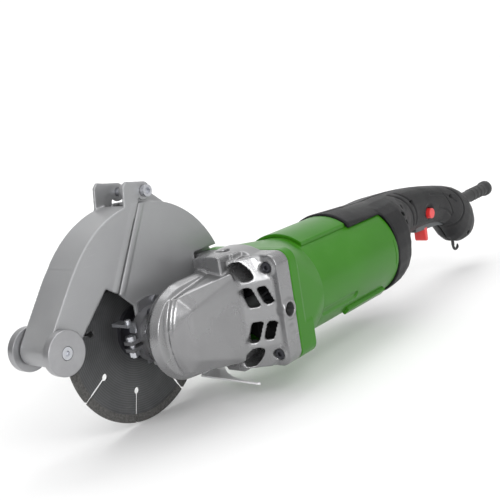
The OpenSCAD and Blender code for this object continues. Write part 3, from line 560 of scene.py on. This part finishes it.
def flap_only(tree, base, rough, height):
    """Red on the finger flap, dark grey on the lever behind and above it."""
    place = new_node(tree, "ShaderNodeSeparateXYZ")
    feed(tree, place, 0, new_node(tree, "ShaderNodeTexCoord").outputs["Object"])
    flap = math_node(tree, "MULTIPLY", remap(tree, place.outputs["X"], 0.4022, 0.4018),
                     remap(tree, place.outputs["X"], 0.3952, 0.3956))
    flap = math_node(tree, "MULTIPLY", flap, remap(tree, place.outputs["Z"], -0.0078, -0.0082))
    return mix_colour(tree, flap, (0.055, 0.062, 0.066), base), rough, height


def trigger_moulding():
    look = bpy.context.scene.chaser_finish
    return finish("trigger_moulding", look.red, roughness=0.36, fine=1500, broad=60, bump=0.05, tone=0.08, coat=0.15,
                  extra=flap_only)


def black_moulding():
    return finish("black_moulding", (0.022, 0.022, 0.024), roughness=0.5, fine=2000, broad=60, bump=0.15, tone=0.15)


def soft_rubber():
    return finish("soft_rubber", (0.026, 0.026, 0.027), roughness=0.62, fine=1800, broad=50, bump=0.2, tone=0.15,
                  dust=0.08)


def blade_steel():
    look = bpy.context.scene.chaser_finish
    return finish("blade_steel", look.blade_grey, metallic=0.55, roughness=0.42, fine=900, broad=30, bump=0.1,
                  tone=0.15, marks=0.4, dust=0.05, extra=rings_about_y(160.0, 0.35))


def diamond_bond():
    return finish("diamond_bond", (0.085, 0.083, 0.08), metallic=0.2, roughness=0.75, fine=2600, broad=600, bump=0.8,
                  tone=0.35, dust=0.1, broad_share=1.2)


def plated_steel():
    return finish("plated_steel", (0.50, 0.51, 0.54), metallic=0.9, roughness=0.30, fine=1200, broad=90, bump=0.05,
                  tone=0.06, marks=0.15)


def satin_zinc():
    return finish("satin_zinc", (0.80, 0.80, 0.81), metallic=0.35, roughness=0.42, fine=1600, broad=50, bump=0.05,
                  tone=0.04, marks=0.15)


def dull_zinc():
    return finish("dull_zinc", (0.20, 0.20, 0.21), metallic=0.7, roughness=0.45, fine=1800, broad=70, bump=0.08,
                  tone=0.08, marks=0.1)


def ground_steel():
    return finish("ground_steel", (0.50, 0.51, 0.53), metallic=1.0, roughness=0.22, fine=3000, broad=80, bump=0.04,
                  tone=0.05, marks=0.3)


def black_oxide():
    return finish("black_oxide", (0.035, 0.035, 0.038), metallic=0.8, roughness=0.38, fine=2000, broad=120, bump=0.08,
                  tone=0.2)


def sheet_stack():
    return finish("sheet_stack", (0.20, 0.20, 0.21), metallic=0.8, roughness=0.45, bump=0.3,
                  extra=bands_along("X", 300.0, (0.05, 0.05, 0.055)))


def wound_copper():
    return finish("wound_copper", (0.42, 0.14, 0.045), metallic=0.7, roughness=0.32, bump=0.7, coat=0.5,
                  extra=bands_along("DIAGONAL", 220.0, (0.12, 0.035, 0.012)))


def bar_copper():
    return finish("bar_copper", (0.60, 0.30, 0.16), metallic=1.0, roughness=0.28, marks=0.5)


def pressed_brass():
    return finish("pressed_brass", (0.58, 0.42, 0.16), metallic=1.0, roughness=0.3, marks=0.3)


def carbon_block():
    return finish("carbon_block", (0.03, 0.03, 0.032), metallic=0.2, roughness=0.6, fine=3000, bump=0.3)


def film_case():
    return finish("film_case", (0.50, 0.36, 0.06), roughness=0.35, bump=0.05, coat=0.2)


NODE_FINISH = {"skid_plate": satin_zinc, "clamp_band": dull_zinc}

SLOT_FINISH = {
    "guard_metal": guard_silver, "head_alloy": cast_alloy, "zinc_steel": plated_steel, "ground_steel": ground_steel,
    "black_oxide": black_oxide, "blade_core": blade_steel, "diamond_segment": diamond_bond,
    "green_plastic": green_moulding, "charcoal_plastic": charcoal_moulding, "black_plastic": black_moulding,
    "red_plastic": red_moulding, "rubber_black": soft_rubber, "lamination": sheet_stack, "copper_wire": wound_copper,
    "copper_bar": bar_copper, "brass_holder": pressed_brass, "carbon": carbon_block, "spring_steel": plated_steel,
    "capacitor_film": film_case,
}


def give(obj, material):
    """Sets the object's one material."""
    obj.data.materials.clear()
    obj.data.materials.append(material)
    return obj


# ---------------------------------------------------------------- shapes


def square_reach(angle, half, corner):
    """Distance from the centre to the edge of a rounded square at each angle.

    A ray at angle a, folded into the first eighth, meets the flat side at half / cos a while half * tan a is at most
    half - corner. Past that it meets the corner's arc about (w, w), w = half - corner, at
    w (cos a + sin a) + sqrt(w^2 (cos a + sin a)^2 - 2 w^2 + corner^2).
    """
    a = np.abs((angle + np.pi / 4) % (np.pi / 2) - np.pi / 4)
    w = half - corner
    s = np.cos(a) + np.sin(a)
    arc = w * s + np.sqrt(np.maximum(w**2 * s**2 - 2 * w**2 + corner**2, 0))
    return np.where(half * np.tan(a) <= w, half / np.cos(a), arc)


def barrel_reach(x, angle):
    """Outer radius of the motor housing at each x and angle, the angle counted from +Y towards +Z.

    From the flange a rounded square (half 49 mm, corner 11 mm) turns evenly into the 47 mm round barrel. Its two
    lower corners stay square a little longer. A flat-bottomed recess with round ends runs along each side, and a
    short slit stands near the rear edge.
    """
    t = smooth_step((x - 0.0945) / 0.003) * 0.25 + 0.75 * np.clip((x - 0.096) / 0.035, 0, 1)
    late = smooth_step((x - 0.1068) / 0.0008)
    lower = smooth_step((-np.sin(angle) - 0.32) / 0.04) * smooth_step((0.94 + np.sin(angle)) / 0.04)
    t = t * (1 - lower * (1 - late))
    half = (1 - t) * 0.049 + t * BARREL_R
    corner = (1 - t) * 0.011 + t * BARREL_R
    reach = square_reach(angle, half, corner)
    side = np.abs(np.abs((angle - np.pi / 2) % (2 * np.pi) - np.pi) - np.radians(62))
    run = np.clip(x, 0.136, 0.188)
    away = np.hypot(x - run, side * BARREL_R)
    reach = reach - 0.0016 * (1 - smooth_step((away - 0.0032) / 0.0008))
    level = np.minimum(np.abs((angle + np.pi) % (2 * np.pi) - np.pi), np.abs((angle % (2 * np.pi)) - np.pi))
    slit = (1 - smooth_step((np.abs(x - 0.2612) - 0.0004) / 0.0005)) * (1 - smooth_step((level - 0.26) / 0.02))
    edge = 0.0008 * (1 - np.sqrt(np.clip(1 - np.clip((x - (CAP_X - 0.0008)) / 0.0008, 0, 1) ** 2, 0, 1)))
    return reach - 0.001 * slit - edge


def make_barrel():
    """The motor housing as one closed tube: an outer skin by barrel_reach and a plain bore, joined at both ends."""
    xs = np.unique(np.concatenate([
        np.linspace(FLANGE_X, 0.094, 6), np.linspace(0.094, 0.098, 9), np.linspace(0.098, 0.1064, 8),
        np.linspace(0.1064, 0.1080, 9), np.linspace(0.108, 0.130, 20), np.linspace(0.130, 0.1375, 16),
        np.linspace(0.1375, 0.186, 36), np.linspace(0.186, 0.194, 17), np.linspace(0.194, 0.2595, 24),
        np.linspace(0.2595, 0.263, 19), np.linspace(0.263, CAP_X - 0.0008, 3), np.linspace(CAP_X - 0.0008, CAP_X, 5),
    ]))
    angle = np.linspace(0, 2 * np.pi, 288, endpoint=False)
    x, a = np.meshgrid(xs, angle, indexing="ij")
    outer = barrel_reach(x, a)
    inner_x = np.array([CAP_X, 0.12, FLANGE_X])
    xi, ai = np.meshgrid(inner_x, angle, indexing="ij")
    xx, aa = np.vstack([x, xi]), np.vstack([a, ai])
    rr = np.vstack([outer, np.full_like(xi, BARREL_BORE)])
    points = np.stack([xx, MOTOR_Y + rr * np.cos(aa), rr * np.sin(aa)], -1).reshape(-1, 3)
    mesh = mesh_from_arrays("barrel", points, grid_quads(len(xx), len(angle), True, True))
    return outward(add_object("barrel", mesh))


def bent_bar(name, x0, x1, half_width, inner, outer, turn, edge):
    """A bar that lies along the barrel: a rounded outline across, carried from x0 to x1 with eased ends.

    Across, the outline spans half_width sideways and inner to outer outwards; turn is its angle from straight down.
    Near each end the outline shrinks outwards as a quarter circle of radius edge.
    """
    outline = rounded_profile(
        [(-half_width, inner), (-half_width, outer), (half_width, outer), (half_width, inner)], [1e-5, edge, edge, 1e-5]
    )
    s = np.linspace(0, 1, 7)
    ease = edge * (1 - np.sqrt(1 - (1 - s) ** 2))
    xs = np.concatenate([[x0], x0 + edge * s, x1 - edge * s[::-1], [x1]])
    cut = np.concatenate([[outer - inner - 1e-4], ease, ease[::-1], [outer - inner - 1e-4]])
    across = outline[None, :, 0] * np.ones((len(xs), 1))
    out = np.minimum(outline[None, :, 1], outer - cut[:, None])
    c, sn = math.cos(turn), math.sin(turn)
    y = MOTOR_Y + across * c + out * sn
    z = across * sn - out * c
    points = np.stack([np.broadcast_to(xs[:, None], across.shape), y, z], -1)
    first, last = points[0].mean(0), points[-1].mean(0)
    points = np.concatenate([np.broadcast_to(first, (1, *points[0].shape)), points,
                             np.broadcast_to(last, (1, *points[0].shape))])
    mesh = mesh_from_arrays(name, points.reshape(-1, 3), grid_quads(len(points), len(outline), False, True))
    return outward(add_object(name, mesh))


HANDLE_LINES = {
    # moulded lines on the near side, as x and z, and their half width
    "bulb_line": ([(0.4520, 0.0270), (0.4650, 0.0160), (0.4720, 0.0060), (0.4725, -0.0040), (0.4660, -0.0110),
                   (0.4560, -0.0160), (0.4430, -0.0175)], 0.0010),
    "collar_front": ([(0.3180, 0.0470), (0.3300, 0.0390), (0.3400, 0.0290), (0.3455, 0.0200), (0.3480, 0.0080)], 0.0011),
    "collar_rear": ([(0.3320, 0.0465), (0.3440, 0.0370), (0.3515, 0.0280), (0.3555, 0.0180), (0.3560, 0.0060)], 0.0011),
    "grip_upper": ([(0.4000, 0.0300), (0.4200, 0.0260), (0.4400, 0.0200), (0.4560, 0.0100)], 0.0007),
    "grip_lower": ([(0.4120, 0.0130), (0.4300, 0.0060), (0.4440, -0.0040)], 0.0007),
    "grip_cross": ([(0.4300, 0.0250), (0.4400, 0.0100), (0.4460, -0.0020)], 0.0006),
}


def groove_handle(obj, depth):
    """Presses the moulded lines into the sides: each point near a line moves in by depth * (1 - (d / w)^2)^2."""
    points, turned_out = coords(obj), normals(obj)
    flat = points[:, [0, 2]]
    move = np.zeros(len(points))
    side = smooth_step((np.abs(points[:, 1] - MOTOR_Y) - 0.008) / 0.004)
    side *= np.abs(turned_out[:, 1]) > 0.2
    outer = (turned_out[:, 1] * (points[:, 1] - MOTOR_Y)) > 0
    for path, width in HANDLE_LINES.values():
        near = distance_to_path(flat, smooth_path(path))
        move = np.maximum(move, np.clip(1 - (near / (2.2 * width)) ** 2, 0, 1) ** 2)
    points -= turned_out * (move * side * outer * depth)[:, None]
    set_coords(obj, points)


# ---------------------------------------------------------------- operators


class CHASER_OT_guard(bpy.types.Operator):
    """Rounds both halves of the guard and gives them their sprayed silver."""

    bl_idname = "chaser.guard"
    bl_label = "Guard"

    def execute(self, context):
        grid = context.scene.chaser_shape.guard_grid
        rear = softened(["shroud_rear"], "guard_rear_half", grid, 5, "tool")
        front = softened(["shroud_front"], "guard_front_half", grid, 5, "guard_front")
        self.ease(front)
        give(rear, guard_silver())
        give(front, guard_silver())
        return {"FINISHED"}

    def ease(self, obj):
        """Runs the round rim into the straight leg with one smooth curve.

        Between EASE_START and LEG_ANGLE about the blade's centre the outline follows the cubic that leaves the rim
        with the rim's own slope and meets the leg's outer line where that line is nearest.
        """
        points = coords(obj)
        radius = np.hypot(points[:, 0], points[:, 2])
        angle = np.degrees(np.arctan2(points[:, 2], points[:, 0]))

        def rim(degrees):
            shift = GUARD_X * np.cos(np.radians(degrees)) + GUARD_Z * np.sin(np.radians(degrees))
            return shift + np.sqrt(GUARD_R**2 - GUARD_X**2 - GUARD_Z**2 + shift**2)

        span = LEG_ANGLE - EASE_START
        leg = LEG_REACH / np.cos(np.radians(np.clip(angle, EASE_START, LEG_ANGLE) - LEG_ANGLE))
        now = np.where(angle > LEG_START, leg, rim(angle))
        t = np.clip((angle - EASE_START) / span, 0, 1)
        slope = (rim(EASE_START + 0.5) - rim(EASE_START - 0.5)) * span
        curve = rim(EASE_START) * (1 + 2 * t) * (1 - t) ** 2 + slope * t * (1 - t) ** 2 + LEG_REACH * t**2 * (3 - 2 * t)
        shift = np.where((t > 0) & (t < 1), curve - now, 0) * smooth_step((radius - 0.084) / 0.008)
        points[:, 0] *= 1 + shift / radius
        points[:, 2] *= 1 + shift / radius
        set_coords(obj, points)
        away = np.hypot(points[:, 0] + 0.0665, points[:, 2] - 0.0717)
        share = smooth_step((0.007 - away) / 0.004)
        local = obj.vertex_groups.new(name="bend")
        for index in np.flatnonzero(share > 0):
            local.add([int(index)], float(share[index]), "REPLACE")
        relax = obj.modifiers.new("ease_bend", "SMOOTH")
        relax.factor = 0.5
        relax.iterations = 14
        relax.use_y = False
        relax.vertex_group = local.name
        baked(obj)


class CHASER_OT_rollers(bpy.types.Operator):
    """Turns the two guide rollers with rounded rims and a sunk hub."""

    bl_idname = "chaser.rollers"
    bl_label = "Guide rollers"

    def execute(self, context):
        steps = context.scene.chaser_shape.turns
        for node, outward_side in (("roller_near", -1.0), ("roller_far", 1.0)):
            low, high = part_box(node)
            radius = (high.x - low.x) / 2
            thick = high.y - low.y
            centre = ((low.x + high.x) / 2, low.y if outward_side > 0 else high.y, (low.z + high.z) / 2)
            outline = rounded_profile(
                [(0, 0.00405), (0, radius), (thick, radius), (thick, 0.0054), (thick - 0.0034, 0.0054),
                 (thick - 0.0034, 0.00405)],
                [0.0002, 0.0006, 0.0012, 0.0002, 0.0003, 0.0002],
            )
            obj = turned(node.replace("roller", "guide_roller"), outline, centre, (0, outward_side, 0), steps)
            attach(obj, node)
            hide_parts(node)
            give(obj, roller_alloy())
        return {"FINISHED"}


class CHASER_OT_gear_head(bpy.types.Operator):
    """Rounds the gear head's casting and its cover."""

    bl_idname = "chaser.gear_head"
    bl_label = "Gear head"

    def execute(self, context):
        grid = context.scene.chaser_shape.casting_grid
        head = softened(["gear_housing"], "gear_head_casting", grid, 6, "tool")
        give(head, cast_alloy())
        cover = softened(["bearing_cover"], "bearing_cover_casting", 0.0008, 3, "tool")
        give(cover, cast_alloy())
        return {"FINISHED"}


class CHASER_OT_barrel(bpy.types.Operator):
    """Builds the green motor barrel, its side rails and its top plate."""

    bl_idname = "chaser.barrel"
    bl_label = "Motor barrel"

    def execute(self, context):
        barrel = make_barrel()
        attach(barrel, "tool")
        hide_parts("motor_housing")
        give(barrel, green_moulding())
        for name, turn in (("side_rail_near", -41), ("side_rail_far", 41)):
            rail = bent_bar(name, 0.182, 0.250, 0.0040, 0.0455, 0.0505, math.radians(turn), 0.0012)
            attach(rail, "tool")
            give(rail, green_moulding())
        plate = softened(["top_plate"], "barrel_top_plate", 0.0006, 4, "tool")
        give(plate, green_moulding())
        return {"FINISHED"}


class CHASER_OT_handle(bpy.types.Operator):
    """Rounds both handle shells, presses in their moulded lines and turns the cord sleeve."""

    bl_idname = "chaser.handle"
    bl_label = "Handle"

    def execute(self, context):
        shape = context.scene.chaser_shape
        for node in ("handle_shell_near", "handle_shell_far"):
            shell = softened([node], node.replace("handle_shell", "grip_shell"), shape.handle_grid, 12, "tool")
            groove_handle(shell, shape.groove_depth)
            give(shell, charcoal_moulding())
        low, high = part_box("cord_sleeve")
        length = high.x - low.x
        bore = 0.0038
        collar = [(0, bore), (0, 0.0096), (0.006, 0.0096), (0.007, 0.0074)]
        ribs = []
        for start in (0.031, 0.041, 0.051, 0.061):
            ribs += [(start, 0.0074), (start + 0.0004, 0.0080), (start + 0.0036, 0.0080), (start + 0.004, 0.0074)]
        end = [(length - 0.0085, 0.0074), (length - 0.0065, 0.0094), (length, 0.0094), (length, 0.0068),
               (length - 0.004, bore)]
        outline = rounded_profile(collar + ribs + end, 0.0006 * np.ones(len(collar + ribs + end)), 4)
        centre = (low.x, (low.y + high.y) / 2, (low.z + high.z) / 2)
        sleeve = turned("cord_guard_sleeve", outline, centre, (1, 0, 0), shape.turns)
        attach(sleeve, "tool")
        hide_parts("cord_sleeve")
        give(sleeve, soft_rubber())
        return {"FINISHED"}


class CHASER_OT_controls(bpy.types.Operator):
    """Rounds the trigger and the lock button."""

    bl_idname = "chaser.controls"
    bl_label = "Trigger and lock button"

    def execute(self, context):
        trigger = softened(["trigger"], "trigger_lever", 0.0004, 3, "trigger")
        give(trigger, trigger_moulding())
        button = softened(["lock_button"], "lock_on_button", 0.0003, 3, "lock_button")
        give(button, red_moulding())
        return {"FINISHED"}


class CHASER_OT_carried_over(bpy.types.Operator):
    """Gives every exact node that stays its own procedural finish, by the record's material slot."""

    bl_idname = "chaser.carried_over"
    bl_label = "Blade, fasteners and inside"

    def execute(self, context):
        slots = {row["node"]: row["material_slot"] for row in frame["record"]["subparts"]}
        for node, obj in frame["nodes"].items():
            material = NODE_FINISH.get(node, SLOT_FINISH[slots[node]])()
            if not obj.material_slots:
                raise RuntimeError(f"{node} has no material slot")
            for place in obj.material_slots:
                place.link = "OBJECT"
                place.material = material
        return {"FINISHED"}


class CHASER_OT_stage(bpy.types.Operator):
    """Lays the pale floor and sets the soft lights and the camera."""

    bl_idname = "chaser.stage"
    bl_label = "Stage, lights and camera"

    def execute(self, context):
        scene = context.scene
        floor_z = CAD_BOX[0][2] - 0.0005
        pale = finish("pale_floor", (0.86, 0.86, 0.86), roughness=0.75, fine=60, broad=3, bump=0.02, tone=0.008,
                      specular=0.15)
        # a flat floor whose far side sweeps up in a quarter circle of radius 1.2 m into a wall
        bend = np.linspace(0, np.pi / 2, 24)
        run = np.concatenate([[-6.0, 0.0, 1.5, 3.0], 3.5 + 1.2 * np.sin(bend), [4.7]])
        rise = np.concatenate([[0.0, 0.0, 0.0, 0.0], 1.2 * (1 - np.cos(bend)), [7.0]])
        across = np.linspace(-9, 9, 7)
        forward, sideways = np.array([0.763, 0.646]), np.array([0.646, -0.763])
        i, j = np.meshgrid(np.arange(len(run)), np.arange(len(across)), indexing="ij")
        flat = run[i][..., None] * forward + across[j][..., None] * sideways
        points = np.concatenate([flat, (floor_z + rise[i])[..., None]], -1).reshape(-1, 3)
        floor = mesh_from_arrays("floor", points, grid_quads(len(run), len(across), False, False))
        give(add_object("floor", floor), pale)
        self.sky(scene)
        scene.view_settings.view_transform = "Standard"
        self.light("key", (-0.45, -1.35, 1.45), (0.12, -0.05, 0.02), 0.9, 0.7, 6.5)
        self.light("front", (-0.97, -0.79, 0.45), (-0.02, -0.06, 0.02), 0.34, 0.42, 5.5)
        self.light("top", (0.35, 0.1, 1.6), (0.25, -0.05, 0.0), 1.4, 0.5, 4.0)
        self.light("wall", (1.4, 0.9, 2.6), (2.6, 2.2, 0.6), 3.0, 2.0, 60.0)
        self.camera(scene)
        return {"FINISHED"}

    def sky(self, scene):
        """Soft surroundings, brightest above the near side and darker low on the left."""
        world = bpy.data.worlds.new("studio")
        scene.world = world
        world.use_nodes = True
        tree = world.node_tree
        toward = new_node(tree, "ShaderNodeVectorMath", operation="DOT_PRODUCT")
        feed(tree, toward, 0, new_node(tree, "ShaderNodeTexCoord").outputs["Generated"])
        toward.inputs[1].default_value = (-0.05, -0.62, 0.78)
        shade = remap(tree, toward.outputs["Value"], -0.7, 0.9, 0.16, 0.92)
        backdrop = tree.nodes["Background"]
        backdrop.inputs["Color"].default_value = (1.0, 1.0, 1.0, 1)
        tree.links.new(shade, backdrop.inputs["Strength"])

    def light(self, name, place, target, width, height, power):
        lamp = bpy.data.lights.new(name, "AREA")
        lamp.shape = "RECTANGLE"
        lamp.size, lamp.size_y = width, height
        lamp.energy = power
        obj = bpy.data.objects.new(name, lamp)
        obj.location = place
        obj.rotation_euler = (Vector(target) - Vector(place)).to_track_quat("-Z", "Y").to_euler()
        bpy.context.scene.collection.objects.link(obj)

    def camera(self, scene):
        data = bpy.data.cameras.new("camera")
        data.lens = 65.06
        data.sensor_width = 36
        data.clip_end = 200
        obj = bpy.data.objects.new("camera", data)
        forward = Vector((0.7477, 0.6330, -0.2005)).normalized()
        up = Vector((0.2552, 0.0049, 0.9669))
        right = forward.cross(up).normalized()
        up = right.cross(forward).normalized()
        turn = Matrix((right, up, -forward)).transposed().to_4x4()
        obj.matrix_world = Matrix.Translation((-0.4975, -0.5600, 0.2047)) @ turn
        scene.collection.objects.link(obj)
        scene.camera = obj


class CHASER_PT_panel(bpy.types.Panel):
    """Lists the settings and the building steps."""

    bl_idname = "CHASER_PT_panel"
    bl_label = "Wall Chaser"
    bl_space_type = "VIEW_3D"
    bl_region_type = "UI"
    bl_category = "Wall Chaser"

    def draw(self, context):
        for settings in (context.scene.chaser_finish, context.scene.chaser_shape):
            box = self.layout.box()
            for key in settings.__annotations__:
                box.prop(settings, key)
        for operator in OPERATORS:
            self.layout.operator(operator.bl_idname)


OPERATORS = (
    CHASER_OT_stage, CHASER_OT_carried_over, CHASER_OT_guard, CHASER_OT_rollers, CHASER_OT_gear_head,
    CHASER_OT_barrel, CHASER_OT_handle, CHASER_OT_controls,
)
CLASSES = (ChaserFinish, ChaserShape, *OPERATORS, CHASER_PT_panel)


def register():
    for cls in CLASSES:
        bpy.utils.register_class(cls)
    bpy.types.Scene.chaser_finish = PointerProperty(type=ChaserFinish)
    bpy.types.Scene.chaser_shape = PointerProperty(type=ChaserShape)


def unregister():
    del bpy.types.Scene.chaser_shape
    del bpy.types.Scene.chaser_finish
    for cls in reversed(CLASSES):
        bpy.utils.unregister_class(cls)


def main():
    register()
    for operator in OPERATORS:
        space, name = operator.bl_idname.split(".")
        getattr(getattr(bpy.ops, space), name)()


if __name__ == "__main__":
    main()
